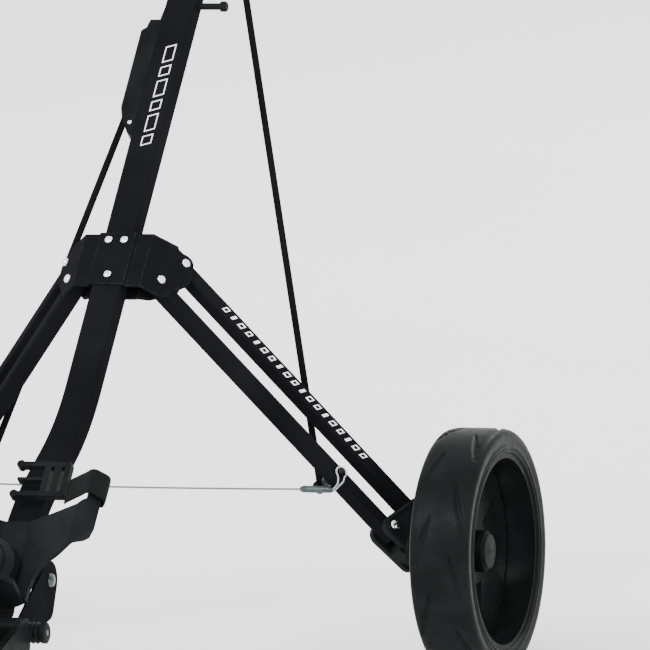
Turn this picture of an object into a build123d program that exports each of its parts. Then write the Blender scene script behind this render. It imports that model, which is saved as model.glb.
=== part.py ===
from build123d import *
import os
from math import cos, radians, sin

# Three-wheel folding push cart.  Front is -Y, up is +Z, millimetres.
# The origin lies on the ground under the middle of the overall length.

# ---- driving dimensions ----
AXLE_Y = 105.4  # rear axle behind the origin
REAR_R, REAR_W, TRACK_X = 123.5, 63.0, 346.0
FRONT_R, FRONT_W, FRONT_Y, FRONT_Z = 105.0, 48.0, -590.0, 105.0
LEAN = 43.8  # slope of the main tube above the horizontal
HUB_Y, HUB_Z = -70.4, 413.4  # tube axis at the lower link pivots
TUBE_W, TUBE_D, TUBE_WALL = 31.5, 21.8, 1.8
TUBE_TOP = 560.0  # upper tube end, along the tube from the hub
TUBE_FOOT = -400.0
FOOT_RISE = 52.3  # the lower run lies this far in front of the upper run
SHEET = 2.5
WING = 47.8  # bend of the hub wings about the tube
PIVOT_X, PIVOT_N = 49.75, -5.2  # lower link pivot on the wing face
LINK_IN, LINK_DEEP, LINK_WALL = 14.0, 17.5, 1.6
LINK_U, LINK_V = 311.5, -137.5  # lower pivot to lower knuckle pivot
PAIR_U, PAIR_V = 21.5, 31.2  # lower pivot to upper pivot
TIE_AT = 0.776  # share of the link length at the tie pin
ROD_R, ROD_DEPTH, ROD_TOP = 3.5, -40.0, 454.8
FRONT_PIVOT = (-344.0, 163.0)
YOKE = (-431.0, 130.0)
HANDLE_S, HANDLE_LEN, HANDLE_SLOPE = 578.0, 205.0, 54.0
GAP = 0.3  # between faces of different bodies
FIT = 0.06  # radial running fit

along = Vector(0, cos(radians(LEAN)), sin(radians(LEAN)))
front = Vector(0, -sin(radians(LEAN)), cos(radians(LEAN)))
side = Vector(1, 0, 0)
hub = Vector(0, AXLE_Y + HUB_Y, HUB_Z)
outward = side * cos(radians(WING)) - front * sin(radians(WING))
wing_out = side * sin(radians(WING)) + front * cos(radians(WING))
link_dir = (outward * LINK_U + along * LINK_V).normalized()
LINK_LEN = (LINK_U**2 + LINK_V**2) ** 0.5


def tube_point(x, s, n):
    """Point from lateral offset, distance up the tube and height in front of its axis."""
    return hub + side * x + along * s + front * n


def side_plane(x):
    """Sketch in (distance along the tube, height in front), extruding towards +X."""
    return Plane(origin=tube_point(x, 0, 0), x_dir=along, z_dir=side)


def cross_plane(s):
    """Sketch in (X, height in front), extruding down the tube."""
    return Plane(origin=tube_point(0, s, 0), x_dir=side, z_dir=-along)


def face_plane(n):
    """Sketch in (X, distance along the tube), extruding forwards."""
    return Plane(origin=tube_point(0, 0, n), x_dir=side, z_dir=front)


def wing_plane(u, v, depth):
    """Right wing: sketch in (outward, along the tube), extruding out of the wing face."""
    origin = tube_point(PIVOT_X, 0, PIVOT_N) + outward * u + along * v + wing_out * depth
    return Plane(origin=origin, x_dir=outward, z_dir=wing_out)


def link_plane(u, v, depth):
    """As wing_plane, but turned so that x runs down the link."""
    origin = wing_plane(u, v, depth).origin
    return Plane(origin=origin, x_dir=link_dir, z_dir=wing_out)


def lateral(x, y, z):
    """Plane across X at a point of the cart; sketch in (Y, Z)."""
    return Plane(origin=(x, AXLE_Y + y, z), x_dir=(0, 1, 0), z_dir=(1, 0, 0))


def save(part, name):
    """Label a finished piece and write its file."""
    part.label = name
    export_step(part, f"parts/{name}.step")


def mirrored(plane):
    """The same plane on the left of the cart."""
    flip = (-1, 1, 1)
    origin, x_dir, z_dir = (
        tuple(a * b for a, b in zip(tuple(v), flip))
        for v in (plane.origin, plane.x_dir, plane.z_dir)
    )
    return Plane(origin=origin, x_dir=x_dir, z_dir=z_dir)


def turned(origin, axis, outline, rounding=0.0):
    """Solid of revolution from (radius, height along axis) pairs."""
    across = Plane(origin=origin, z_dir=axis).x_dir
    axis = Vector(axis).normalized()
    with BuildPart() as body:
        with BuildSketch(Plane(origin=origin, x_dir=across, z_dir=across.cross(axis))) as profile:
            Polygon(*outline, align=None)
            if rounding:
                fillet(profile.vertices(), rounding)
        revolve(axis=Axis(origin, axis))
    return body.part


def rivet(plane, length, r, head_r, head_h):
    """Domed rivet: head on the plane's face, shank going down from it, flat tail."""
    outline = [
        (0, -length - 2), (head_r * 0.85, -length - 2), (head_r * 0.85, -length), (r, -length),
        (r, 0), (head_r, 0), (head_r * 0.93, head_h * 0.5), (head_r * 0.7, head_h * 0.82),
        (head_r * 0.35, head_h * 0.97), (0, head_h),
    ]
    return turned(plane.origin, plane.z_dir, outline)


def save_pair(part, stem):
    """Write the right-hand piece and its mirror image."""
    save(part, f"{stem}_right")
    with BuildPart() as left:
        mirror(part, about=Plane.YZ)
    save(left.part, f"{stem}_left")


def save_group(pieces, name, twin=True):
    """Write several like pieces, and their mirror images, as one node."""
    with BuildPart() as group:
        for piece in pieces:
            add(piece)
            if twin:
                mirror(piece, about=Plane.YZ)
    save(group.part, name)


os.makedirs("parts", exist_ok=True)

# ---- main tube: straight, S-bend, straight ----
with BuildPart() as main_tube:
    with BuildLine(side_plane(0)) as axis_line:
        FilletPolyline(
            (TUBE_TOP, 0), (-185.9, 0), (-318.2, FOOT_RISE), (TUBE_FOOT, FOOT_RISE), radius=260
        )
    with BuildSketch(cross_plane(TUBE_TOP)):
        RectangleRounded(TUBE_W, TUBE_D, 3)
        offset(amount=-TUBE_WALL, mode=Mode.SUBTRACT)
    sweep()
    with BuildSketch(face_plane(-20)):
        with Locations((8.3, 35), (-8.3, 35), (0, -7)):
            Circle(2.6)
    extrude(amount=40, mode=Mode.SUBTRACT)
save(main_tube.part, "main_tube")

for name, s, n, sign in (
    ("tube_plug_top", TUBE_TOP, 0, 1),
    ("tube_plug_foot", TUBE_FOOT, FOOT_RISE, -1),
):
    with BuildPart() as plug:
        with BuildSketch(cross_plane(s)):
            with Locations((0, n)):
                RectangleRounded(TUBE_W, TUBE_D, 3)
        extrude(amount=-2.5 * sign)
        with BuildSketch(cross_plane(s)):
            with Locations((0, n)):
                RectangleRounded(TUBE_W - 2 * TUBE_WALL - 1, TUBE_D - 2 * TUBE_WALL - 1, 2)
        extrude(amount=12 * sign)
    save(plug.part, name)

# ---- hub: two folded plates with the link pivots between their wings ----
flat_n = TUBE_D / 2 + SHEET
pin_planes = (wing_plane(0, 0, 0), wing_plane(PAIR_U, PAIR_V, 0))
rear_depth = -LINK_DEEP - SHEET - 2 * GAP


def wing_point(u, depth):
    """(X, n) of a point on the right wing section."""
    a = radians(WING)
    return PIVOT_X + u * cos(a) + depth * sin(a), PIVOT_N - u * sin(a) + depth * cos(a)


def mirror_run(points):
    """Open outline through the mirror images and the points."""
    return [(-x, n) for x, n in reversed(points)] + list(points)


def wing_bend(n, depth):
    """Where the wing section at this depth meets a flat at height n."""
    a = radians(WING)
    return wing_point((PIVOT_N + depth * cos(a) - n) / sin(a), depth)


front_run = [(18.5, flat_n), (21.5, flat_n - 3.3), wing_bend(flat_n - 3.3, 0), wing_point(31, 0)]
back_run = [wing_bend(-TUBE_D / 2, rear_depth), wing_point(31, rear_depth)]
front_ear = [(-14, 13.2), (-5, 9.6), (1, 9.4), (6, 7.4), (9, 3.4), (9.6, -1), (20, -1), (20, 20), (-14, 20)]
back_ear = [(-4, 29), (3, 20), (8, 11), (9.6, 0), (20, 0), (20, 30)]
back_foot = [(24, -30), (26, -18.5), (35, -13), (41, -6), (46, 4), (58, 14)]
for name, run, top, foot, low_corner, ear in (
    ("hub_plate_front", front_run, 44, -18, [(46, -30), (52, -18), (74, 18)], front_ear),
    ("hub_plate_back", back_run, 60, -19, back_foot, back_ear),
):
    with BuildPart() as plate:
        with BuildSketch(cross_plane(top)):
            with BuildLine():
                Polyline(*mirror_run(run))
                offset(amount=SHEET, side=Side.RIGHT, closed=True)
            make_face()
        extrude(amount=top - foot)
        with BuildSketch(face_plane(-80)):
            for x in (1, -1):
                corner = [(x * a, s) for a, s in low_corner]
                Polygon(*corner, (x * 95, 18), (x * 95, -30), align=None)
                Polygon((x * 50, 62), (x * 73, 44), (x * 95, 44), (x * 95, 62), align=None)
        extrude(amount=110, mode=Mode.SUBTRACT)
        for plane, up in ((pin_planes[1], 1), (mirrored(pin_planes[1]), -1)):
            with BuildSketch(plane):
                Polygon(*[(u, up * v) for u, v in ear], align=None)
            extrude(amount=40, both=True, mode=Mode.SUBTRACT)
        with BuildSketch(face_plane(-20)):
            with Locations((8.3, 35), (-8.3, 35), (0, -7)):
                Circle(2.6)
        extrude(amount=40, mode=Mode.SUBTRACT)
        with BuildSketch(*pin_planes, *(mirrored(p) for p in pin_planes)):
            Circle(3.5)
        extrude(amount=40, both=True, mode=Mode.SUBTRACT)
    save(plate.part, name)

save_group([rivet(p, -rear_depth + SHEET, 3.5, 4.7, 3.6) for p in pin_planes], "pivot_rivets")

hub_spots = [
    Plane(origin=tube_point(x, s, flat_n), z_dir=front) for x, s in ((8.3, 35), (-8.3, 35), (0, -7))
]
save_group([rivet(p, TUBE_D + 2 * SHEET, 2.6, 4.2, 3) for p in hub_spots], "hub_rivets", twin=False)

# ---- legs: each a parallelogram of two box-section links ----
link_depth = -SHEET - GAP - LINK_DEEP
for stem, u, v, end_r in (
    ("link_lower", 0, 0, 3.5 + FIT),
    ("link_upper", PAIR_U, PAIR_V, 3.5 + GAP),
):
    with BuildPart() as link:
        with BuildSketch(link_plane(u, v, link_depth)):
            Circle(LINK_IN / 2)
            with Locations(((LINK_LEN + 9) / 2, 0)):
                Rectangle(LINK_LEN + 9, LINK_IN)
        extrude(amount=LINK_DEEP)
        fillet(link.edges().filter_by(Axis((0, 0, 0), link_dir)), 2)
        with BuildSketch(link_plane(u, v, link_depth + LINK_WALL)):
            with Locations((LINK_LEN / 2 + 11, 0)):
                Rectangle(LINK_LEN, LINK_IN - 2 * LINK_WALL)
        extrude(amount=LINK_DEEP - 2 * LINK_WALL, mode=Mode.SUBTRACT)
        with BuildSketch(link_plane(u, v, link_depth - 1)):
            Circle(3.5 + FIT)
            with Locations((LINK_LEN, 0)):
                Circle(end_r)
            if not u:
                with Locations((TIE_AT * LINK_LEN, 0)):
                    Circle(3)
        extrude(amount=LINK_DEEP + 2, mode=Mode.SUBTRACT)
    save_pair(link.part, stem)

# ---- tie pins: cable loop in front of the lower link, strut eye behind it ----
tie_plane = wing_plane(TIE_AT * LINK_U, TIE_AT * LINK_V, 0)
tie_outline = [
    (0, ROD_DEPTH + ROD_R + 0.6), (3, ROD_DEPTH + ROD_R + 0.6), (3, -28), (5.5, -28),
    (5.5, link_depth), (3, link_depth), (3, -SHEET - GAP), (4.4, -SHEET - GAP), (4.4, -1.6),
    (2.6, -1.6), (2.6, 1.2), (3.7, 1.2), (3.7, 2.4), (2.6, 3.4), (0, 3.8),
]
save_pair(turned(tie_plane.origin, wing_out, tie_outline), "tie_pin")

# ---- struts: round rods from the slider to the tie pins ----
rod_low = wing_plane(TIE_AT * LINK_U, TIE_AT * LINK_V, ROD_DEPTH).origin
rod_top = wing_plane(0, ROD_TOP, ROD_DEPTH).origin
with BuildPart() as strut:
    with BuildSketch(Plane(origin=rod_low, z_dir=rod_top - rod_low)):
        Circle(ROD_R)
    extrude(amount=(rod_top - rod_low).length)
    for v in (0, 1):
        u_eye, v_eye = (0, ROD_TOP) if v else (TIE_AT * LINK_U, TIE_AT * LINK_V)
        with BuildSketch(wing_plane(u_eye, v_eye, ROD_DEPTH - ROD_R)):
            Circle(7)
        extrude(amount=2 * ROD_R)
    with BuildSketch(wing_plane(0, ROD_TOP, ROD_DEPTH - 6)):
        Circle(3 + FIT)
    extrude(amount=12, mode=Mode.SUBTRACT)
    with BuildSketch(wing_plane(TIE_AT * LINK_U, TIE_AT * LINK_V, ROD_DEPTH - ROD_R - 3)):
        RegularPolygon(5, 6)
    extrude(amount=3)
save_pair(strut.part, "strut")

# ---- slider: collar on the main tube with a lug for both struts ----
with BuildPart() as slider:
    with BuildSketch(cross_plane(500)):
        RectangleRounded(43, 33, 5)
        RectangleRounded(TUBE_W + 2 * GAP, TUBE_D + 2 * GAP, 3.3, mode=Mode.SUBTRACT)
    extrude(amount=52)
    with BuildSketch(cross_plane(480)):
        Polygon(*mirror_run([(9, -14), (9, -25.9), (24, -42.4), (20, -48)]), align=None)
    extrude(amount=40)
save(slider.part, "slider")

stub_plane = wing_plane(0, ROD_TOP, ROD_DEPTH)
stub_outline = [(0, -4), (3, -4), (3, 3.8), (5, 3.8), (5, 5.4), (3.5, 6.6), (0, 7)]
save_group([turned(stub_plane.origin, wing_out, stub_outline)], "slider_pins")

# ---- knuckles: cheeks either side of the links, web and wheel boss ----
q_u, q_v = LINK_U, LINK_V
with BuildPart() as knuckle:
    for depth, thick in ((-SHEET, 6.5), (rear_depth - 6, 6.0)):
        with BuildSketch(wing_plane(q_u, q_v, depth)) as cheek:
            Circle(11)
            with Locations((PAIR_U, PAIR_V)):
                Circle(12)
            with Locations((36, -14), (37, 33)):
                Circle(10)
            make_hull()
            Circle(3.5, mode=Mode.SUBTRACT)
            with Locations((PAIR_U, PAIR_V)):
                Circle(3.5, mode=Mode.SUBTRACT)
        extrude(amount=thick)
    with BuildSketch(wing_plane(q_u, q_v, rear_depth - 1)):
        Polygon((14, -21), (45, -21), (45, 42), (37, 42), (37, 18), (14, 18), align=None)
    extrude(amount=-rear_depth)
    with BuildSketch(lateral(274, 0, 0)):
        with Locations((0, REAR_R)):
            Circle(14)
    extrude(amount=32)
    with BuildSketch(lateral(270, 0, 0)):
        with Locations((0, REAR_R)):
            Circle(6)
    extrude(amount=40, mode=Mode.SUBTRACT)
save_pair(knuckle.part, "knuckle")

with BuildPart() as knuckle_rivets:
    for u, v in ((q_u, q_v), (q_u + PAIR_U, q_v + PAIR_V)):
        add(rivet(wing_plane(u, v, 4), 10 - rear_depth, 3.5, 5.2, 3.4))
save_pair(knuckle_rivets.part, "knuckle_rivets")

# ---- wheels: tyre, spoked rim and cap, all turned about the axle ----
def wheel(stem, centre, r, width, tyre_deep, hub_r, bore, spoke_x, hub_x, save_it):
    """Tyre, rim and cap of one wheel; spoke_x and hub_x set the spokes and the hub's outer end."""
    half = width / 2
    seat = r - tyre_deep
    tyre = turned(
        centre, side,
        [(seat, -half + 4), (seat, half - 4), (seat + tyre_deep * 0.6, half), (r - 3, half - 2),
         (r, half - 9), (r, 9 - half), (r - 3, 2 - half), (seat + tyre_deep * 0.6, -half)],
        2.5,
    )
    with BuildPart() as rim:
        for low_r, high_r, low_x, high_x in (
            (seat - 5, seat, 3 - half, half - 3), (bore, hub_r, -half, hub_x),
        ):
            add(turned(centre, side, [(low_r, low_x), (high_r, low_x), (high_r, high_x), (low_r, high_x)]))
        start = Plane(origin=centre + side * spoke_x, x_dir=(0, 1, 0), z_dir=side)
        with BuildSketch(start):
            Circle(seat - 2)
            Circle(hub_r - 2, mode=Mode.SUBTRACT)
            with PolarLocations(0, 3):
                outer = [polar(seat - 8, t) for t in range(-34, 35, 4)]
                inner = [polar(hub_r + 12, t + 28) for t in range(20, -21, -5)]
                Polygon(*outer, *inner, align=None, mode=Mode.SUBTRACT)
        extrude(amount=9)
        with BuildSketch(start):
            Circle(bore)
        extrude(amount=20, both=True, mode=Mode.SUBTRACT)
    cap = turned(
        centre + side * hub_x, side,
        [(0, 4), (bore, 4), (bore, 0), (hub_r, 0), (hub_r, 3), (hub_r * 0.8, 6), (0, 7.5)],
    )
    for piece, kind in ((tyre, "tyre"), (rim.part, "rim"), (cap, "cap")):
        save_it(piece, f"{kind}_{stem}")


def polar(radius, angle):
    """Point on a circle, angle in degrees."""
    return radius * cos(radians(angle)), radius * sin(radians(angle))


rear_centre = Vector(TRACK_X, AXLE_Y, REAR_R)
front_centre = Vector(0, AXLE_Y + FRONT_Y, FRONT_Z)
wheel("rear", rear_centre, REAR_R, REAR_W, 25, 21, 6 + FIT, -11, 7, save_pair)
save_pair(turned(rear_centre, side, [(0, -72), (6, -72), (6, 10.5), (0, 10.5)]), "axle_rear")

# ---- tie cable between the tie pins, with crimped ferrules and wire loops ----
tie = tie_plane.origin
CABLE_DROP, FERRULE, WIRE = 18.0, 34.0, 0.95
cable_end = Vector(tie.X - 9, tie.Y - 2, tie.Z - CABLE_DROP)
with BuildPart() as tie_cable:
    with BuildSketch(Plane(origin=(FERRULE - cable_end.X, cable_end.Y, cable_end.Z), z_dir=side)):
        Circle(WIRE)
    extrude(amount=2 * (cable_end.X - FERRULE))
save(tie_cable.part, "tie_cable")
save_pair(
    turned(cable_end, side, [
        (0, -FERRULE), (2.6, -FERRULE), (3.5, 3 - FERRULE), (3.5, -3), (2.6, 0), (0, 0),
    ]),
    "cable_ferrule",
)

# ---- lower bag cradle on the front of the tube foot ----
face_n = FOOT_RISE + TUBE_D / 2
cradle_run = [(14, face_n + 2.6), (76, face_n + 38), (88, face_n + 22)]
wing_edge = [
    (99, -347), (94, -352), (89, -364), (83, -376), (74, -387), (62, -395), (50, -400), (42, -407),
    (37, -416), (35, -428), (34, -450), (99, -450),
]
with BuildPart() as bag_cradle:
    with BuildSketch(cross_plane(-302)):
        with BuildLine():
            FilletPolyline(*mirror_run(cradle_run), radius=5)
        trace(line_width=5.2)
    extrude(amount=139)
    with BuildSketch(face_plane(0)):
        Polygon((-80, -290), (-80, -334), (-72, -342), (72, -342), (80, -334), (80, -290), align=None)
        for x in (1, -1):
            edge = [(x * a, s) for a, s in wing_edge]
            Polygon(*edge, align=None)
    extrude(amount=120, mode=Mode.SUBTRACT)
    with BuildSketch(cross_plane(-436)):
        ledge = [(15, face_n), (30, face_n + 9), (30, face_n + 44), (22, face_n + 52)]
        Polygon(*mirror_run(ledge), align=None)
    extrude(amount=5)
    add(turned(
        tube_point(-22, -404, face_n + 2.6), front,
        [(0, 0), (36, 0), (38, 8), (36, 17), (29, 22), (28, 21), (26, 25), (17, 29), (16, 28), (14, 31),
         (0, 33)],
    ))
save(bag_cradle.part, "bag_cradle")

# ---- lower strap: male buckle on the tube front, webbing round the right wing ----
buckle_n = face_n + 8
with BuildPart() as buckle_male:
    with BuildSketch(face_plane(buckle_n)):
        with Locations((32, -298)):
            RectangleRounded(27, 40, 2)
        for s in (-280.5, -315.5):
            with Locations((4, s)):
                RectangleRounded(32, 5, 1.5)
            with Locations((-8, s)):
                Circle(4.2)
        with Locations((6, -298)):
            RectangleRounded(28, 3, 1)
        with Locations((27, -298), (38, -298)):
            Rectangle(3.6, 29, mode=Mode.SUBTRACT)
    extrude(amount=8)
save(buckle_male.part, "buckle_male")

wrap = [(82, 42.5), (95.5, 26), (88, 13), (78, 18)]
for name, sign, start in (
    ("strap_male", 1, [(46.6, 12), (62, 26)]),
    ("strap_female", -1, [(73.4, 12), (73, 30)]),
):
    with BuildPart() as strap:
        with BuildSketch(cross_plane(-302)):
            with BuildLine():
                run = [(sign * x, face_n + n) for x, n in start + wrap]
                FilletPolyline(*run, radius=3.5)
            trace(line_width=1.8)
        extrude(amount=28)
    save(strap.part, name)

with BuildPart() as buckle_female:
    with BuildSketch(face_plane(buckle_n - 2)):
        with Locations((-54, -298)):
            RectangleRounded(36, 40, 3)
    extrude(amount=12)
    with BuildSketch(face_plane(buckle_n + 0.5)):
        with Locations((-48, -298)):
            Rectangle(36, 30)
    extrude(amount=7, mode=Mode.SUBTRACT)
save(buckle_female.part, "buckle_female")

# ---- front hinge: cheeks under the tube foot ----
def side_point(y, z):
    """(distance along the tube, height in front) of a point of the middle plane."""
    offset_vec = Vector(0, AXLE_Y + y, z) - hub
    return offset_vec.dot(along), offset_vec.dot(front)


pivot_sn = side_point(*FRONT_PIVOT)
foot_low = FOOT_RISE - TUBE_D / 2
with BuildPart() as front_bracket:
    for x in (-TUBE_W / 2 - 3, TUBE_W / 2):
        with BuildSketch(side_plane(x)):
            Polygon(
                (-338, face_n - 3), (-398, face_n - 3), (-398, foot_low),
                (pivot_sn[0] - 15, pivot_sn[1]), (pivot_sn[0] + 15, pivot_sn[1]), (-338, foot_low - 4),
                align=None,
            )
            with Locations(pivot_sn):
                Circle(15)
                Circle(5, mode=Mode.SUBTRACT)
        extrude(amount=3)
    with BuildSketch(side_plane(-TUBE_W / 2)):
        with Locations(pivot_sn):
            Circle(9)
            Circle(5, mode=Mode.SUBTRACT)
    extrude(amount=TUBE_W)
save(front_bracket.part, "front_bracket")

pivot_point = Vector(0, AXLE_Y + FRONT_PIVOT[0], FRONT_PIVOT[1])
ARM_X = TUBE_W / 2 + 3 + GAP  # inner face of the swinging plates
save(
    turned(pivot_point, side, [
        (0, -ARM_X - 7), (6, -ARM_X - 6), (7, -ARM_X - 3.4), (5, -ARM_X - 3.4), (5, ARM_X + 3.4),
        (7, ARM_X + 3.4), (6, ARM_X + 6), (0, ARM_X + 7),
    ]),
    "front_pivot_pin",
)

# ---- front arm: black plates, plastic yoke with fork blades, axle ----
with BuildPart() as arm_plates:
    for x in (-ARM_X - 3, ARM_X):
        with BuildSketch(lateral(x, 0, 0)):
            with Locations(FRONT_PIVOT):
                Circle(19)
            with Locations((-352, 138)):
                Circle(13)
            with Locations(YOKE):
                Circle(12)
            make_hull()
            with Locations(FRONT_PIVOT):
                Circle(5 + FIT, mode=Mode.SUBTRACT)
            with Locations(YOKE):
                Circle(3 + FIT, mode=Mode.SUBTRACT)
        extrude(amount=3)
save(arm_plates.part, "arm_plates")

with BuildPart() as fork:
    with BuildSketch(lateral(-ARM_X, 0, 0)):
        with Locations((-433, 130)):
            RectangleRounded(36, 24, 4)
        with Locations(YOKE):
            Circle(3 + FIT, mode=Mode.SUBTRACT)
    extrude(amount=2 * ARM_X)
    with BuildSketch(lateral(-37, 0, 0)):
        with Locations((-457, 132)):
            RectangleRounded(25, 34, 6)
    extrude(amount=74)
    for x in (-37, 29):
        with BuildSketch(lateral(x, 0, 0)):
            with Locations((-458, 132)):
                Circle(14)
            with Locations((FRONT_Y, FRONT_Z)):
                Circle(13)
            make_hull()
            with Locations((FRONT_Y, FRONT_Z)):
                Circle(5, mode=Mode.SUBTRACT)
        extrude(amount=8)
save(fork.part, "front_fork")

save(
    turned(front_centre, side, [
        (0, -44), (8, -43), (8, -37), (5, -37), (5, 37), (8, 37), (8, 43), (0, 44),
    ]),
    "axle_front",
)

wheel_bore = 5 + FIT
with BuildPart() as front_tyre:
    add(turned(
        front_centre, side,
        [(84, -20), (84, 20), (95, 24), (101, 21), (105, 12), (105, -12), (101, -21), (95, -24)], 2.5,
    ))
save(front_tyre.part, "tyre_front")
with BuildPart() as front_rim:
    add(turned(front_centre, side, [(79, -21), (84, -21), (84, 21), (79, 21)]))
    add(turned(front_centre, side, [(wheel_bore, -28.6), (18, -28.6), (18, 28.6), (wheel_bore, 28.6)]))
    with BuildSketch(Plane(origin=front_centre - side * 4, x_dir=(0, 1, 0), z_dir=side)):
        Circle(82)
        Circle(16, mode=Mode.SUBTRACT)
        with PolarLocations(0, 3):
            outer = [polar(76, t) for t in range(-34, 35, 4)]
            inner = [polar(29, t + 28) for t in range(20, -21, -5)]
            Polygon(*outer, *inner, align=None, mode=Mode.SUBTRACT)
    extrude(amount=8)
save(front_rim.part, "rim_front")

# ---- lock knob with its pin through the plates and the yoke ----
yoke_point = Vector(0, AXLE_Y + YOKE[0], YOKE[1])
knob_x = ARM_X + 3 + GAP
ridges = [(9.5 + 1.3 * (i % 2), 2 + 2.3 * i) for i in range(9)]
button = [(8, 21.5), (10.5, 23), (10.5, 27), (8.5, 28), (3, 28)]
knob_outline = [(3, 0), (9.5, 0), *ridges, *button]
save(turned(yoke_point, side, [(r, knob_x + x) for r, x in knob_outline]), "lock_knob")
pin_in, pin_out = -ARM_X - 3, knob_x + 28
save(turned(yoke_point, side, [(0, pin_in), (3, pin_in), (3, pin_out), (0, pin_out)]), "lock_pin")

# ---- upper end: stop peg, side pocket, bag arms, handle clevis ----
peg_outline = [(0, 0), (3.4, 0), (3.4, 25), (5.4, 25), (5.4, 30), (4, 31.5), (0, 31.5)]
save(turned(tube_point(TUBE_W / 2, 335, 0), side, peg_outline), "stop_peg")

with BuildPart() as side_pocket:
    with BuildSketch(face_plane(-9)):
        Polygon(
            (-TUBE_W / 2, 312), (-28, 312), (-30, 302), (-36.5, 298), (-36.5, 206), (-30, 186), (-21, 170),
            (-TUBE_W / 2, 167), align=None,
        )
    extrude(amount=18)
    fillet(side_pocket.edges().filter_by(Axis((0, 0, 0), along)).sort_by(Axis.X)[:2], 4)
    with BuildSketch(face_plane(-6)):
        Polygon((-19, 320), (-33, 320), (-33, 208), (-28, 192), (-19, 192), align=None)
    extrude(amount=12, mode=Mode.SUBTRACT)
save(side_pocket.part, "side_pocket")
save(turned(tube_point(-21, 183, 9), front, [(0, 0), (2.4, 0), (2.2, 1), (0, 1.6)]), "pocket_screw")

with BuildPart() as bag_arms:
    with BuildSketch(cross_plane(546)):
        with BuildLine():
            FilletPolyline(*mirror_run([(17, 14.0), (50, 22), (78, 48), (82, 74)]), radius=15)
        trace(line_width=6)
    extrude(amount=32)
    for x in (1, -1):
        with BuildSketch(face_plane(0)):
            with Locations((x * 66, 530)):
                Rectangle(4, 22)
        extrude(amount=80, mode=Mode.SUBTRACT)
save(bag_arms.part, "bag_arms")

handle_pivot = tube_point(0, HANDLE_S, 0)
with BuildPart() as handle_clevis:
    for x in (-TUBE_W / 2 - 5, TUBE_W / 2):
        with BuildSketch(side_plane(x)):
            with Locations(((HANDLE_S + 534) / 2, 0)):
                Rectangle(HANDLE_S - 534, 20)
            with Locations((HANDLE_S, 0)):
                Circle(12)
                Circle(4, mode=Mode.SUBTRACT)
        extrude(amount=5)
save(handle_clevis.part, "handle_clevis")
save(
    turned(handle_pivot, side, [
        (0, -25), (6.5, -25), (6.5, -20.8), (4, -20.8), (4, 20.8), (6.5, 20.8), (6.5, 24), (0, 25),
    ]),
    "handle_pin",
)

# ---- handle: stem, tee, crossbar and grips ----
stem_dir = Vector(0, cos(radians(HANDLE_SLOPE)), sin(radians(HANDLE_SLOPE)))
stem_up = Vector(0, -sin(radians(HANDLE_SLOPE)), cos(radians(HANDLE_SLOPE)))
with BuildPart() as handle_stem:
    with BuildSketch(Plane(origin=handle_pivot - side * (TUBE_W / 2 - GAP), x_dir=stem_dir, z_dir=side)):
        Circle(11)
        with Locations((15, 0)):
            Rectangle(30, 18)
        Circle(4 + FIT, mode=Mode.SUBTRACT)
    extrude(amount=TUBE_W - 2 * GAP)
    with BuildSketch(Plane(origin=handle_pivot + stem_dir * 28, x_dir=side, z_dir=stem_dir)):
        RectangleRounded(26, 18, 3)
    extrude(amount=HANDLE_LEN - 28 - 16)
save(handle_stem.part, "handle_stem")

grip_centre = handle_pivot + stem_dir * HANDLE_LEN
with BuildPart() as handle_tee:
    with BuildSketch(Plane(origin=grip_centre - side * 22, x_dir=stem_dir, z_dir=side)):
        Circle(16)
        with Locations((-8, 0)):
            Rectangle(16, 24)
        Circle(11, mode=Mode.SUBTRACT)
    extrude(amount=44)
save(handle_tee.part, "handle_tee")
save(turned(grip_centre, side, [(9.2, -168), (11, -168), (11, 168), (9.2, 168)]), "handle_bar")
save_pair(
    turned(grip_centre, side, [(11, 24), (15, 24), (17, 30), (17.5, 90), (17, 150), (15.5, 162), (11, 162)]),
    "grip",
)
end_outline = [(0, 160), (9.2, 160), (9.2, 168), (12.5, 168), (12, 173), (0, 174)]
save_group([turned(grip_centre, side, end_outline)], "bar_ends")
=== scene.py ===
from math import ceil, cos, pi, radians, sin, sqrt, tau

import bmesh
import bpy
from mathutils import Matrix, Vector
from mathutils.geometry import convex_hull_2d


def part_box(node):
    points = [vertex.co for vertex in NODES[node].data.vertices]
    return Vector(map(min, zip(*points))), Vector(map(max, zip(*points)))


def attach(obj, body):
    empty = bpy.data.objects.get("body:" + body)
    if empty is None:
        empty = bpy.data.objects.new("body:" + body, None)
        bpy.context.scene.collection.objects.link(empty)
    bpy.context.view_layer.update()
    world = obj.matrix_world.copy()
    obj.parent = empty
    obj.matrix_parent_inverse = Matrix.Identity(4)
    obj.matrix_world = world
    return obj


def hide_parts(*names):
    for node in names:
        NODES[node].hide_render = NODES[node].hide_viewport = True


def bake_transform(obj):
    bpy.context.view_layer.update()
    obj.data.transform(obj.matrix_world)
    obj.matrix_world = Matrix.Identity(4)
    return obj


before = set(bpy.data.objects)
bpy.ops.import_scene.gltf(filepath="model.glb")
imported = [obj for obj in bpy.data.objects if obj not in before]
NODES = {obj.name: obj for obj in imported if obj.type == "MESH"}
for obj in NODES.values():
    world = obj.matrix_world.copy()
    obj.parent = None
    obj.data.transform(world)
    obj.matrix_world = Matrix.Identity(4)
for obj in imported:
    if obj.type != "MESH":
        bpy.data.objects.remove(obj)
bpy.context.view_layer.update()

# ---- the cart's own frame, as the CAD has it, in metres ----
LEAN = radians(43.8)
WING = radians(47.8)
X = Vector((1, 0, 0))
ALONG = Vector((0, cos(LEAN), sin(LEAN)))
FRONT = Vector((0, -sin(LEAN), cos(LEAN)))
OUT = X * cos(WING) - FRONT * sin(WING)
WING_N = X * sin(WING) + FRONT * cos(WING)
HUB = Vector((0, 0.0350, 0.4134))
TUBE_D = 0.0218
PIVOT = HUB + X * 0.04975 + FRONT * -0.0052
LINK_U, LINK_V = 311.5, -137.5  # lower hub pivot to lower knuckle pivot, in the wing's plane
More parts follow.
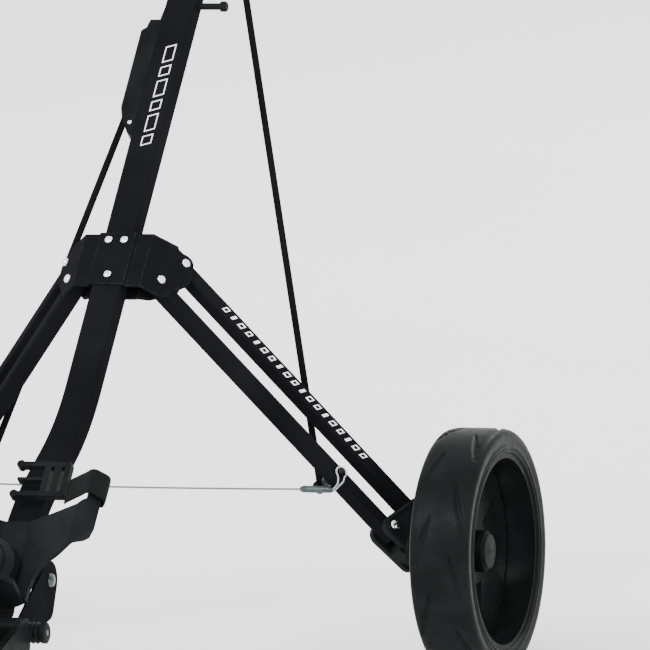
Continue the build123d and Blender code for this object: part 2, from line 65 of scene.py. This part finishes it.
PAIR_U, PAIR_V = 21.5, 31.2  # lower hub pivot to upper hub pivot
TIE_AT = 0.776  # share of the link length at the tie pin
LINK_FACE = -2.8  # front face of the links, below the wing's face
LINK_DIR = (OUT * LINK_U + ALONG * LINK_V).normalized()
LINK_UP = WING_N.cross(LINK_DIR)
FACE_N = 0.0523 + TUBE_D / 2


def tube_point(x, s, n):
    """Millimetres across, up the tube and in front of its axis, to metres in the row frame."""
    return HUB + X * (x / 1000) + ALONG * (s / 1000) + FRONT * (n / 1000)


def wing_point(u, v, depth):
    """Millimetres outward, along the tube and out of the right wing face."""
    return PIVOT + OUT * (u / 1000) + ALONG * (v / 1000) + WING_N * (depth / 1000)


def flipped(p):
    """The same point on the left of the cart."""
    return Vector((-p[0], p[1], p[2]))


# ---- camera ----
def make_camera():
    """A long lens 12 m away, in front and to the right, about 11 degrees above the level."""
    right = Vector((0.93970, 0.33741, -0.05586))
    back = Vector((0.34180, -0.92081, 0.18783)).normalized()
    right = (right - back * right.dot(back)).normalized()
    up = back.cross(right)
    data = bpy.data.cameras.new("camera")
    data.sensor_width = 36
    data.lens = 664.6
    data.clip_start = 0.1
    data.clip_end = 400
    camera = bpy.data.objects.new("camera", data)
    bpy.context.scene.collection.objects.link(camera)
    place = Matrix((right, up, back)).transposed().to_4x4()
    place.translation = Vector((0.1995, 0.0980, 0.3537)) + back * 12
    camera.matrix_world = place
    bpy.context.scene.camera = camera


make_camera()


# ---- materials ----
def shader(name, **values):
    """A new material, its node tree and its Principled shader with fixed values set on it."""
    material = bpy.data.materials.new(name)
    material.use_nodes = True
    tree = material.node_tree
    surface = tree.nodes["Principled BSDF"]
    for key, value in values.items():
        surface.inputs[key.replace("_", " ")].default_value = value
    return material, tree, surface


def add_node(tree, kind, fields=None, **links):
    """A node with its fields set; links are sockets or constants, by input name."""
    item = tree.nodes.new("ShaderNode" + kind)
    for key, value in (fields or {}).items():
        setattr(item, key, value)
    for key, value in links.items():
        by_number = key[0] == "i" and key[1:].isdigit()
        socket = item.inputs[int(key[1:]) if by_number else key.replace("_", " ")]
        if isinstance(value, bpy.types.NodeSocket):
            tree.links.new(value, socket)
        else:
            socket.default_value = value
    return item


def rgb(r, g, b):
    """sRGB 0-255 to linear."""
    lin = [c / 255 / 12.92 if c <= 10 else ((c / 255 + 0.055) / 1.055) ** 2.4 for c in (r, g, b)]
    return (*lin, 1)


def set_colour(tree, surface, factor, a, b):
    """Base colour that runs from a to b with the factor."""
    tree.links.new(blend_colour(tree, factor, a, b), surface.inputs["Base Color"])


def set_roughness(tree, surface, value, low, high, least, most):
    """Roughness from least to most as the value goes from low to high."""
    tree.links.new(spread(tree, value, low, high, least, most), surface.inputs["Roughness"])


def product(tree, a, b):
    return math_node(tree, "MULTIPLY", a, b)


def object_place(tree):
    """Texture coordinates fixed to the piece."""
    return add_node(tree, "TexCoord").outputs["Object"]


def noise(tree, scale, detail=3.0, rough=0.55, place=None):
    item = add_node(tree, "TexNoise", Scale=scale, Detail=detail, Roughness=rough)
    tree.links.new(place or object_place(tree), item.inputs["Vector"])
    return item.outputs["Fac"]


def math_node(tree, operation, a, b=0.0, clamp=False):
    return add_node(tree, "Math", {"operation": operation, "use_clamp": clamp}, i0=a, i1=b).outputs[0]


def spread(tree, value, low, high, to_low, to_high):
    item = add_node(tree, "MapRange", Value=value)
    for key, number in zip(("From Min", "From Max", "To Min", "To Max"), (low, high, to_low, to_high)):
        item.inputs[key].default_value = number
    return item.outputs["Result"]


def blend_colour(tree, factor, a, b):
    item = add_node(tree, "Mix", {"data_type": "RGBA"})
    for socket, value in ((item.inputs[0], factor), (item.inputs[6], a), (item.inputs[7], b)):
        if isinstance(value, bpy.types.NodeSocket):
            tree.links.new(value, socket)
        else:
            socket.default_value = value
    return item.outputs[2]


def bumps(tree, surface, *layers):
    """Bump layers of (height socket, distance in metres), one on another."""
    normal = None
    for height, distance in layers:
        item = add_node(tree, "Bump", Height=height, Distance=distance, Strength=1.0)
        if normal is not None:
            tree.links.new(normal, item.inputs["Normal"])
        normal = item.outputs["Normal"]
    tree.links.new(normal, surface.inputs["Normal"])


def edge_mask(tree, radius):
    """1 at the edges, 0 on flats."""
    soft = add_node(tree, "Bevel", {"samples": 4}, Radius=radius).outputs[0]
    hard = add_node(tree, "NewGeometry").outputs["Normal"]
    turn = add_node(tree, "VectorMath", {"operation": "DOT_PRODUCT"}, i0=soft, i1=hard).outputs["Value"]
    return spread(tree, turn, 0.998, 0.90, 0.0, 1.0)


def painted(name, low, high, worn, rough):
    """Satin stoved paint: orange peel, faint handling marks, edges painted lighter, partly as rubbed wear
    and partly as a painted highlight along the edges.
    """
    material, tree, surface = shader(name, IOR=1.012)
    cloud = noise(tree, 9, 4)
    tint = blend_colour(tree, spread(tree, cloud, 0.35, 0.65, 0, 1), low, high)
    # Edges painted paler: partly rubbed paint, partly a painted highlight standing in for the edge glints
    # that the near-zero specular no longer gives.
    pale_edge = product(tree, edge_mask(tree, 0.0008), spread(tree, noise(tree, 140, 4), 0.42, 0.62, 0.1, 1))
    set_colour(tree, surface, product(tree, pale_edge, 0.8), tint, worn)
    set_roughness(tree, surface, noise(tree, 55, 6, 0.7), 0.35, 0.7, rough - 0.07, rough + 0.12)
    bumps(tree, surface, (noise(tree, 420, 2), 0.00006), (noise(tree, 38, 2), 0.00010))
    return material


def moulded(name, low, high, rough, grain=1500, depth=0.00006):
    """Moulded plastic: spark-eroded grain, slight flow mottling, paler rubbed edges."""
    material, tree, surface = shader(name, IOR=1.07)
    flow = spread(tree, noise(tree, 22, 4), 0.35, 0.68, 0, 1)
    tint = blend_colour(tree, flow, low, high)
    pale = tuple(min(1, c * 2.2 + 0.004) for c in high[:3]) + (1,)
    pale_edge = product(tree, edge_mask(tree, 0.0009), spread(tree, noise(tree, 190, 4), 0.4, 0.62, 0, 1))
    set_colour(tree, surface, product(tree, pale_edge, 0.5), tint, pale)
    set_roughness(tree, surface, noise(tree, 75, 5, 0.6), 0.3, 0.7, rough - 0.06, rough + 0.1)
    cells = add_node(tree, "TexVoronoi", Scale=grain, Vector=object_place(tree)).outputs["Distance"]
    bumps(tree, surface, (cells, depth), (noise(tree, 60, 2), 0.00012))
    return material


def tyre_skin(name):
    """Foam tyre skin: fine pores, dusty mottling on the tread."""
    material, tree, surface = shader(name, IOR=1.10)
    dust = spread(tree, noise(tree, 30, 6, 0.65), 0.4, 0.72, 0, 1)
    set_colour(tree, surface, dust, rgb(16, 19, 19), rgb(23, 26, 27))
    set_roughness(tree, surface, noise(tree, 90, 5, 0.6), 0.3, 0.7, 0.30, 0.46)
    pores = add_node(tree, "TexVoronoi", Scale=900, Vector=object_place(tree)).outputs["Distance"]
    bumps(tree, surface, (pores, 0.00010), (noise(tree, 240, 3), 0.00010), (noise(tree, 35, 2), 0.00020))
    return material


def steel(name, low, high, rough, brushed=(900, 900, 60)):
    """Bare metal: stretched brushing, faint tarnish, roughness streaks."""
    material, tree, surface = shader(name, Metallic=1.0)
    stretch = add_node(tree, "Mapping", Vector=object_place(tree), Scale=brushed).outputs[0]
    streak = noise(tree, 1.0, 4, 0.6, stretch)
    stain = spread(tree, noise(tree, 160, 4), 0.35, 0.7, 0, 1)
    set_colour(tree, surface, stain, low, high)
    set_roughness(tree, surface, streak, 0.3, 0.7, rough - 0.06, rough + 0.12)
    bumps(tree, surface, (streak, 0.00002), (noise(tree, 700, 3), 0.00002))
    return material


def webbing(name, low, high):
    """Woven strap: warp ribs along it and weft across, read from the strap's own UV in metres."""
    material, tree, surface = shader(name, Roughness=0.75, Sheen_Weight=0.02, Sheen_Roughness=0.5, IOR=1.08)
    place = add_node(tree, "TexCoord").outputs["UV"]
    split = add_node(tree, "SeparateXYZ", Vector=place)
    run = product(tree, split.outputs[0], tau / 0.0022)
    across = product(tree, split.outputs[1], tau / 0.0016)
    alternate = math_node(tree, "SIGN", math_node(tree, "SINE", across))
    shifted = math_node(tree, "ADD", run, product(tree, alternate, pi / 2))
    warp = math_node(tree, "ABSOLUTE", math_node(tree, "SINE", across))
    weft = math_node(tree, "ABSOLUTE", math_node(tree, "SINE", shifted))
    weave = product(tree, math_node(tree, "POWER", warp, 0.6), math_node(tree, "POWER", weft, 0.5))
    fuzz = noise(tree, 1400, 3)
    set_colour(tree, surface, product(tree, weave, spread(tree, fuzz, 0.3, 0.7, 0.65, 1.0)), low, high)
    bumps(tree, surface, (weave, 0.00028), (fuzz, 0.00008), (noise(tree, 60, 2), 0.0003))
    return material


def foam(name):
    """Closed-cell grip foam: small cells and broad squeeze marks."""
    look = {"Sheen_Weight": 0.05, "Sheen_Roughness": 0.6, "IOR": 1.4, "Specular_IOR_Level": 0.2}
    material, tree, surface = shader(name, **look)
    squeeze = spread(tree, noise(tree, 60, 5), 0.35, 0.7, 0, 1)
    set_colour(tree, surface, squeeze, rgb(27, 29, 30), rgb(44, 47, 48))
    set_roughness(tree, surface, noise(tree, 120, 4), 0.3, 0.7, 0.72, 0.95)
    cells = add_node(tree, "TexVoronoi", Scale=1100, Vector=object_place(tree)).outputs["Distance"]
    bumps(tree, surface, (cells, 0.0003), (noise(tree, 45, 2), 0.0004))
    return material


def stranded(name, low, high):
    """Twisted wire rope: strand ridges run round the cable from its UV."""
    material, tree, surface = shader(name, Metallic=0.85)
    place = add_node(tree, "TexCoord").outputs["UV"]
    split = add_node(tree, "SeparateXYZ", Vector=place)
    lay = product(tree, split.outputs[0], tau / 0.0045)
    turn = math_node(tree, "ADD", lay, product(tree, split.outputs[1], tau))
    ridge = math_node(tree, "ABSOLUTE", math_node(tree, "SINE", product(tree, turn, 3.0)))
    grime = noise(tree, 500, 4)
    set_colour(tree, surface, product(tree, ridge, spread(tree, grime, 0.3, 0.7, 0.6, 1)), low, high)
    set_roughness(tree, surface, grime, 0.3, 0.7, 0.28, 0.5)
    bumps(tree, surface, (ridge, 0.00025))
    return material


def ink(name):
    """Screen-printed white: slightly raised, faint wear and pin holes."""
    material, tree, surface = shader(name, IOR=1.45)
    worn = spread(tree, noise(tree, 420, 5, 0.7), 0.30, 0.42, 0, 1)
    set_colour(tree, surface, worn, rgb(120, 120, 120), rgb(240, 240, 240))
    set_roughness(tree, surface, noise(tree, 90, 3), 0.3, 0.7, 0.35, 0.55)
    bumps(tree, surface, (noise(tree, 900, 3), 0.00003))
    return material


# The third colour is the pale edge colour: rubbed paint and a painted highlight along the edges.
PAINT = painted("black_paint", rgb(15, 16, 18), rgb(21, 22, 25), rgb(62, 67, 71), 0.30)
MOULD = moulded("black_moulding", rgb(16, 18, 19), rgb(24, 27, 28), 0.34)
SOFT_MOULD = moulded("cradle_plastic", rgb(17, 20, 21), rgb(25, 29, 30), 0.38, 1100, 0.00008)
RIVET = steel("polished_steel", rgb(232, 235, 238), rgb(250, 251, 252), 0.14)
DARK_STEEL = steel("zinc_steel", rgb(70, 74, 76), rgb(105, 110, 112), 0.34)
BLACK_STEEL = steel("blackened_steel", rgb(26, 28, 29), rgb(46, 49, 51), 0.40)
RIM = moulded("wheel_plastic", rgb(13, 15, 16), rgb(20, 22, 23), 0.28, 900, 0.00005)
TYRE = tyre_skin("tyre_foam")
FOAM = foam("grip_foam")
WEB = webbing("strap_webbing", rgb(8, 10, 11), rgb(25, 29, 30))
WIRE = stranded("wire_rope", rgb(60, 70, 72), rgb(150, 160, 162))
EYE = stranded("eye_wire", rgb(120, 126, 130), rgb(225, 228, 232))
SLEEVE = steel("crimp_sleeve", rgb(62, 72, 72), rgb(88, 98, 98), 0.48, (60, 900, 900))
INK = ink("printed_white")

CARRIED = {
    "main_tube": PAINT, "hub_plate": PAINT, "link_": PAINT, "strut_": PAINT, "arm_plates": PAINT,
    "front_bracket": PAINT, "handle_stem": PAINT, "handle_bar": PAINT, "bag_arms": SOFT_MOULD,
    "pivot_rivets": RIVET, "hub_rivets": RIVET, "knuckle_rivets": RIVET, "pocket_screw": RIVET,
    "tie_pin": BLACK_STEEL, "axle": DARK_STEEL, "slider_pins": DARK_STEEL, "front_pivot_pin": DARK_STEEL,
    "lock_pin": DARK_STEEL, "handle_pin": DARK_STEEL, "cable_ferrule": SLEEVE, "bag_cradle": SOFT_MOULD,
    "rim_": RIM, "cap_": RIM, "tyre_": TYRE, "grip_": FOAM, "strap_": WEB, "tie_cable": WIRE,
}


def finish_node(name, node):
    """Give a carried-over node its material, and soften its edges where it is moulded or bent."""
    found = [m for key, m in CARRIED.items() if name.startswith(key)]
    node.data.materials.clear()
    node.data.materials.append(found[0] if found else MOULD)
    node.data.shade_smooth()
    width = 0.0009 if not found or found[0] in (SOFT_MOULD, RIM) else 0.0004
    bevel = node.modifiers.new("edges", "BEVEL")
    bevel.width = width
    bevel.segments = 2
    bevel.limit_method = "ANGLE"
    bevel.angle_limit = radians(35)
    bevel.use_clamp_overlap = True
    bevel.harden_normals = True


for node_name, cad_node in NODES.items():
    finish_node(node_name, cad_node)


# ---- mesh helpers ----
def new_piece(name, verts, faces, material, body, smooth=True, stands_for=()):
    """A mesh object that rides a body, if one is given, and stands for some CAD nodes."""
    data = bpy.data.meshes.new(name)
    data.from_pydata([tuple(v) for v in verts], [], faces)
    mesh = bmesh.new()
    mesh.from_mesh(data)
    bmesh.ops.remove_doubles(mesh, verts=mesh.verts, dist=1e-7)
    bmesh.ops.recalc_face_normals(mesh, faces=mesh.faces)
    mesh.to_mesh(data)
    mesh.free()
    data.materials.append(material)
    if smooth:
        data.shade_smooth()
    piece = bpy.data.objects.new(name, data)
    bpy.context.scene.collection.objects.link(piece)
    if stands_for:
        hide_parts(*stands_for)
    if body:
        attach(piece, body)
    return piece


def put_uv(piece, uvs):
    """One UV pair per vertex."""
    layer = piece.data.uv_layers.new(name="uv")
    for loop in piece.data.loops:
        layer.data[loop.index].uv = uvs[loop.vertex_index]


def grid_faces(rows, columns, wrap_rows, wrap_columns):
    """Quads between the vertices of a grid, closed on itself either way."""
    faces = []
    for i in range(rows if wrap_rows else rows - 1):
        for j in range(columns if wrap_columns else columns - 1):
            k, m = (i + 1) % rows, (j + 1) % columns
            faces.append((i * columns + j, k * columns + j, k * columns + m, i * columns + m))
    return faces


def between(p, q, r, s, t):
    """Catmull-Rom value from q to r."""
    square = 2 * p - 5 * q + 4 * r - s
    cube = 3 * q - p - 3 * r + s
    return 0.5 * (2 * q + (r - p) * t + square * t * t + cube * t**3)


def catmull(points, steps, closed=True):
    """Smooth run through 2-D or 3-D points."""
    count = len(points)
    out = []
    for i in range(count if closed else count - 1):
        if closed:
            a, b, c, d = (points[(i + k) % count] for k in (-1, 0, 1, 2))
        else:
            a, b, c, d = (points[min(max(i + k, 0), count - 1)] for k in (-1, 0, 1, 2))
        for step in range(steps):
            out.append(tuple(between(*four, step / steps) for four in zip(a, b, c, d)))
    if not closed:
        out.append(tuple(points[-1]))
    return out


def lathe(name, centre, profile, steps, material, body, inset=None, stands_for=()):
    """Turn a closed run of (X offset, radius) pairs about X; inset(offset, radius, angle) cuts in."""
    first = Vector((0, 1, 0))
    second = X.cross(first)
    verts = []
    for i in range(steps):
        a = tau * i / steps
        ray = first * cos(a) + second * sin(a)
        for x, r in profile:
            depth = inset(x, r, a) if inset else 0
            verts.append(centre + X * x + ray * (r - depth))
    faces = grid_faces(steps, len(profile), True, True)
    return new_piece(name, verts, faces, material, body, stands_for=stands_for)


def swept(name, path, radius, material, body, sides=12, closed=False, stands_for=()):
    """Round tube along a path, with UV of (metres along, share round)."""
    path = [Vector(p) for p in path]
    count = len(path)
    tangents = []
    for i in range(count):
        ahead = path[(i + 1) % count] if closed or i < count - 1 else path[i]
        behind = path[i - 1] if closed or i else path[i]
        tangents.append((ahead - behind).normalized())
    normal = tangents[0].orthogonal().normalized()
    verts, length, lengths = [], 0.0, []
    for i, (p, t) in enumerate(zip(path, tangents)):
        normal = (normal - t * normal.dot(t)).normalized()
        other = t.cross(normal)
        length += (p - path[i - 1]).length if i else 0
        lengths.append(length)
        size = radius(i / (count - 1)) if callable(radius) else radius
        for j in range(sides):
            a = tau * j / sides
            verts.append(p + (normal * cos(a) + other * sin(a)) * size)
    faces = grid_faces(count, sides, closed, True)
    if not closed:
        faces += [tuple(range(sides)), tuple(range((count - 1) * sides, count * sides))]
    piece = new_piece(name, verts, faces, material, body, stands_for=stands_for)
    put_uv(piece, [(along, j / sides) for along in lengths for j in range(sides)])
    return piece


# ---- tyres: smooth tread with two rows of slanted teardrop grooves, double lip at the rim ----
GROOVE_DEEP, GROOVE_SLANT = 0.0022, radians(74)
BEAD_R = 0.0022


def smooth_step(t):
    """0 to 1 with flat ends."""
    t = min(max(t, 0.0), 1.0)
    return t * t * (3 - 2 * t)


def teardrops(half_tread, radius, row_x, count, long, wide, deep, slant):
    """Depth of the blind grooves cut into the tread at an offset and angle."""
    def depth(x, r, a):
        if abs(x) > half_tread or r < radius * 0.9:
            return 0.0
        best = 0.0
        for row in (1, -1):
            turn = a * count / tau + (0.5 if row < 0 else 0.0)
            near = (turn - round(turn)) * tau * radius / count
            dx = (x - row * row_x) * row
            u = dx * cos(slant) + near * sin(slant)
            v = -dx * sin(slant) + near * cos(slant)
            share = (u + long) / (2 * long)
            if not 0 < share < 1:
                continue
            half = wide * sqrt(share) * (1 - share ** 4) ** 0.5
            best = max(best, deep * smooth_step((half - abs(v)) / 0.0013) * smooth_step(share * 4))
        return best
    return depth


def tyre(node, body, seat, lip, row_x, count, long, wide):
    """Tread and sidewalls over a tyre node, and a bead on each side where the rim's lip shows."""
    low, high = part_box(node)
    centre = (low + high) / 2
    radius = (high.z - low.z) / 2
    half = (high.x - low.x) / 2
    deep = radius - seat
    side_run = [
        (half - 0.0035, seat + 0.0004), (half - 0.0014, seat + 0.0010), (half - 0.0006, seat + 0.0026),
        (half - 0.0018, seat + 0.0040), (half - 0.0008, seat + 0.0054), (half - 0.0002, seat + 0.0070),
        (half - 0.0012, seat + 0.0088), (half - 0.0002, seat + deep * 0.60),
        (half - 0.0006, radius - 0.0052), (half - 0.0030, radius - 0.0022), (half - 0.0066, radius - 0.0008),
    ]
    rows = [half - 0.0110 - i * 0.0020 for i in range(int((half - 0.0110) / 0.0020) + 1)]
    tread = [(x, radius - 0.00035 * (x / half) ** 2) for x in rows if x > 0.0012]
    outer = side_run + tread
    run = outer + [(-x, r) for x, r in reversed(outer)]
    run += [(-half + 0.0080, seat + 0.0001), (half - 0.0080, seat + 0.0001)]
    profile = [(min(max(x, -half), half), min(r, radius)) for x, r in catmull(run, 2)]
    cut = teardrops(half - 0.004, radius, row_x, count, long, wide, GROOVE_DEEP, GROOVE_SLANT)
    lathe(node + "_tread", centre, profile, 720, TYRE, body, cut, (node,))
    for sign in (1, -1):
        edge = sign * (half - lip)
        ring = [tau * k / 14 for k in range(14)]
        bead = [(edge + BEAD_R * cos(t), seat - 0.0004 + BEAD_R * sin(t)) for t in ring]
        tag = "outer" if sign > 0 else "inner"
        lathe(f"{node}_bead_{tag}", centre, bead, 240, RIM, body)


for side_tag in ("right", "left"):
    tyre(f"tyre_rear_{side_tag}", f"wheel_{side_tag}", 0.0985, 0.0052, 0.0165, 10, 0.030, 0.0044)
tyre("tyre_front", "front_wheel", 0.0840, 0.0048, 0.0125, 9, 0.026, 0.0038)


# ---- straps: woven webbing wrapped round the cradle posts ----
def rounded_run(points, radius, steps=7):
    """Polyline in 2-D with its corners turned on arcs, sampled finely."""
    out = [points[0]]
    for before, here, after in zip(points, points[1:], points[2:]):
        a = Vector(before) - Vector(here)
        b = Vector(after) - Vector(here)
        reach = min(radius, a.length * 0.45, b.length * 0.45)
        start, end = Vector(here) + a.normalized() * reach, Vector(here) + b.normalized() * reach
        for k in range(steps + 1):
            t = k / steps
            out.append(tuple(start * (1 - t) ** 2 + Vector(here) * 2 * t * (1 - t) + end * t * t))
    out.append(points[-1])
    dense = []
    for p, q in zip(out, out[1:]):
        span = (Vector(q) - Vector(p)).length
        pieces = max(1, int(span / 1.2))
        dense += [tuple(Vector(p).lerp(Vector(q), k / pieces)) for k in range(pieces)]
    return dense + [tuple(out[-1])]


STRAP_LOW, STRAP_HIGH, STRAP_THICK = -330, -302, 1.8  # edges along the tube, thickness, in millimetres


def strap(name, sign, run, node, lift):
    """Webbing on its edge-on line (X, n) in millimetres, raised up the tube at its start."""
    line = rounded_run([(sign * x, n) for x, n in run], 7)
    ribs = 21
    verts, uvs = [], []
    length = 0.0
    for i, (x, n) in enumerate(line):
        ahead = Vector(line[min(i + 1, len(line) - 1)]) - Vector(line[max(i - 1, 0)])
        ahead.normalize()
        normal = Vector((-ahead.y, ahead.x))
        length += (Vector(line[i]) - Vector(line[i - 1])).length / 1000 if i else 0
        share = i / (len(line) - 1)
        ripple = 0.25 * sin(share * 9.0) * sin(share * pi)
        for side in (1, -1):
            for j in range(ribs):
                t = j / (ribs - 1)
                edge = 1 - 0.45 * (abs(2 * t - 1) ** 8)
                out = side * STRAP_THICK / 2 * edge + ripple * sin(t * pi)
                rank = t if side > 0 else 1 - t
                raised = lift * (1 - smooth_step(share / 0.42))
                s = STRAP_LOW + (STRAP_HIGH - STRAP_LOW) * rank + raised
                verts.append(tube_point(x + normal.x * out, s, n + normal.y * out))
                uvs.append((length, (s - STRAP_LOW) / 1000))
    columns = 2 * ribs
    faces = grid_faces(len(line), columns, False, True)
    faces += [tuple(range(columns)), tuple(range((len(line) - 1) * columns, len(line) * columns))]
    piece = new_piece(name, verts, faces, WEB, "frame", stands_for=(node,))
    put_uv(piece, uvs)


WRAP = [(82, 42.5), (95.5, 26), (88, 13), (78, 18)]
for buckle, sign, start, lift in (
    ("male", 1, [(46.6, 12), (62, 26)], 5),
    ("female", -1, [(73.4, 12), (73, 30)], 14),
):
    edge_line = [(x, FACE_N * 1000 + n) for x, n in start + WRAP]
    strap(f"webbing_{buckle}", sign, edge_line, f"strap_{buckle}", lift)


# ---- tie cable: two halves with a slight sag, a crimp and a wire eye on each ----
def tie_cable(tag, sign):
    """Half of the cable, from the middle into its crimp, with a slight sag."""
    low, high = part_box("tie_cable")
    mid = (low + high) / 2
    end = Vector((sign * (high.x + 0.004), mid.y, mid.z))
    count = 90
    sag = 0.0012
    path = []
    for i in range(count + 1):
        t = i / count
        drop = -sag * (1 - t * t)
        path.append(Vector((end.x * t, mid.y, mid.z + drop)))
    wire_r = (high.z - low.z) / 2
    half = swept(f"cable_{tag}", path, wire_r, WIRE, None, 10, stands_for=("tie_cable",))
    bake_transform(half)


tie_cable("right", 1)
tie_cable("left", -1)


WIRE_R = 0.00095


def wire_eye(tag, flip):
    """Teardrop of wire: out of the crimp, over the edge of the link and round the tie pin."""
    low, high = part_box(f"cable_ferrule_{'left' if flip else 'right'}")
    mouth = (low + high) / 2
    mouth.x = low.x if flip else high.x
    if flip:
        mouth = flipped(mouth)
    pin = wing_point(TIE_AT * LINK_U, TIE_AT * LINK_V, 1.0)
    deep = (mouth - pin).dot(WING_N)
    flat = mouth - pin - WING_N * deep
    reach = flat.length
    lead = flat.normalized()
    beside = WING_N.cross(lead)
    ring, shift = 0.0057, 0.0012  # loop radius, and its centre beyond the pin's
    swing = pi - 0.75  # half of the arc round the pin
    turns = [swing * (k / 14 * 2 - 1) for k in range(15)]
    arc = [pin + lead * (shift - ring * cos(a)) + beside * (ring * sin(a)) for a in turns]

    def lane(side):
        """One leg of the loop from inside the crimp to the start of its arc."""
        start = mouth - X * 0.004 + beside * (side * 0.0009)
        lip = mouth + X * 0.0012 + beside * (side * 0.0010)
        over = pin + lead * (reach * 0.93) + WING_N * (deep * 0.22) + beside * (side * 0.0016)
        top = pin + lead * (reach * 0.74) - WING_N * 0.0002 + beside * (side * 0.0029)
        return [start, lip, over, top]

    path = lane(-1) + arc + lane(1)[::-1]
    if flip:
        path = [flipped(p) for p in path]
    smooth = catmull([tuple(p) for p in path], 5, closed=False)
    swept(f"wire_eye_{tag}", smooth, WIRE_R, EYE, f"leg_lower_{tag}", 10)


wire_eye("right", False)
wire_eye("left", True)


# ---- raised borders on the knuckle cheeks ----
def hull_outline(discs, steps=40):
    """Outline of the hull round some discs, as (u, v)."""
    cloud = []
    for u, v, r in discs:
        cloud += [Vector((u + r * cos(tau * k / steps), v + r * sin(tau * k / steps))) for k in range(steps)]
    return [cloud[i] for i in convex_hull_2d(cloud)]


def spaced(outline, gap):
    """A closed outline at even steps."""
    out = []
    count = len(outline)
    for i in range(count):
        p, q = Vector(outline[i]), Vector(outline[(i + 1) % count])
        pieces = max(1, ceil((q - p).length / gap))
        out += [p.lerp(q, k / pieces) for k in range(pieces)]
    return out


def cheek_border(tag, flip):
    """Bead just inside the edge of a knuckle's front cheek."""
    upper = (LINK_U + PAIR_U, LINK_V + PAIR_V, 9.6)
    discs = [(LINK_U, LINK_V, 8.6), upper, (347.5, -151.5, 7.6), (348.5, -104.5, 7.6)]
    loop = spaced(hull_outline(discs), 1.6)
    path = [wing_point(p.x, p.y, 4.0) for p in loop]
    if flip:
        path = [flipped(p) for p in path]
    swept(f"knuckle_border_{tag}", path, 0.0015, MOULD, f"knuckle_{tag}", 8, closed=True)


cheek_border("right", False)
cheek_border("left", True)


# ---- printed marks: outlined bars on the tube, small slanted bars on the right upper link ----
def flat_marks(name, shapes, place, body, lift):
    """Thin printed shapes; each is (outer outline, inner outline or None) in the face's own plane."""
    verts, faces = [], []
    for outer, inner in shapes:
        first = len(verts)
        count = len(outer)
        verts += [place(p[0], p[1], lift) for p in outer]
        if inner is None:
            faces.append(tuple(range(first, first + count)))
            continue
        verts += [place(p[0], p[1], lift) for p in inner]
        for i in range(count):
            j = (i + 1) % count
            faces.append((first + i, first + j, first + count + j, first + count + i))
    return new_piece(name, verts, faces, INK, body, smooth=False)


def bar(cx, cy, long, wide, skew):
    """Slanted bar centred at a point: x along, y across."""
    corners = ((-long, -wide), (long, -wide), (long, wide), (-long, wide))
    return [(cx + a / 2 + skew * b / 2, cy + b / 2) for a, b in corners]


def tube_face(along_s, across_x, lift):
    """Point on the tube's front face, in millimetres."""
    return tube_point(across_x, along_s, TUBE_D * 500 + lift)


INK_LIFT = 0.12  # millimetres above the paint
tube_bars = []
for i, long in enumerate((20, 12, 20, 12, 20, 12)):
    centre_s = 268 - i * 21.5
    tube_bars.append((bar(centre_s, 3, long, 11, 0.35), bar(centre_s, 3, long - 2.6, 8.8, 0.35)))
flat_marks("tube_print", tube_bars, tube_face, "frame", INK_LIFT)


def link_face(along_link, across, lift):
    """Point on the right upper link's front face, in millimetres from its hub pivot."""
    base = wing_point(PAIR_U, PAIR_V, LINK_FACE + lift)
    return base + LINK_DIR * (along_link / 1000) + LINK_UP * (across / 1000)


link_bars = []
for i in range(19):
    long, gap_long = ((5.6, 3.4), (3.4, None), (6.2, 4.0))[i % 3]
    at = 62 + i * 11.2
    hollow = bar(at, 0, gap_long, 3.4, 0.45) if gap_long else None
    link_bars.append((bar(at, 0, long, 6.4, 0.45), hollow))
flat_marks("link_print", link_bars, link_face, "leg_upper_right", INK_LIFT)


# ---- handle grips: ribbed foam sleeves ----
def grip(tag):
    """Foam sleeve with shallow rings, a little slimmer in the middle."""
    low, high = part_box(f"grip_{tag}")
    centre = (low + high) / 2
    half = (high.x - low.x) / 2
    radius = (high.z - low.z) / 2
    inner = 0.0111
    flip = 1 if tag == "right" else -1
    outer = []
    steps = 150
    for i in range(steps + 1):
        t = i / steps
        x = -half + 2 * half * t
        flare = radius - 0.0006 - 0.0018 * (1 - abs(2 * t - 1) ** 3)
        rib = 0.0007 * (0.5 - 0.5 * cos(tau * (x * 1000) / 9.0)) if 0.12 < t < 0.88 else 0.0
        end = 0.0022 * (1 - smooth_step(min(t, 1 - t) / 0.02))
        outer.append((x * flip, flare - rib - end))
    profile = outer + [(half * flip, inner), (-half * flip, inner)]
    lathe(f"foam_grip_{tag}", centre, profile, 96, FOAM, "handle", stands_for=(f"grip_{tag}",))


grip("right")
grip("left")


# ---- floor and light ----
def floor_and_light():
    bpy.ops.mesh.primitive_circle_add(vertices=96, radius=150, fill_type="NGON", location=(0, 0, 0))
    ground = bpy.context.object
    ground.name = "floor"
    material, tree, surface = shader("floor_paper", Roughness=0.9, IOR=1.3)
    tone = spread(tree, noise(tree, 1.3, 3), 0.3, 0.7, 0, 1)
    set_colour(tree, surface, tone, rgb(248, 248, 248), rgb(252, 252, 252))
    ground.data.materials.append(material)
    world = bpy.context.scene.world or bpy.data.worlds.new("studio")
    bpy.context.scene.world = world
    world.use_nodes = True
    world.node_tree.nodes["Background"].inputs[0].default_value = (1, 1, 1, 1)
    world.node_tree.nodes["Background"].inputs[1].default_value = 2.1
    lights = (
        ("key", (-2.2, -4.2, 3.9), 1.5, 230),
        ("side", (3.2, -3.0, 1.7), 0.6, 45),
        ("back", (0.9, 3.6, 2.8), 1.6, 90),
    )
    target = Vector((0.1, 0.1, 0.35))
    for name, place, size, power in lights:
        data = bpy.data.lights.new(name, "AREA")
        data.shape = "SQUARE"
        data.size = size
        data.energy = power
        lamp = bpy.data.objects.new(name, data)
        lamp.location = place
        lamp.rotation_euler = (target - Vector(place)).to_track_quat("-Z", "Y").to_euler()
        bpy.context.scene.collection.objects.link(lamp)


floor_and_light()
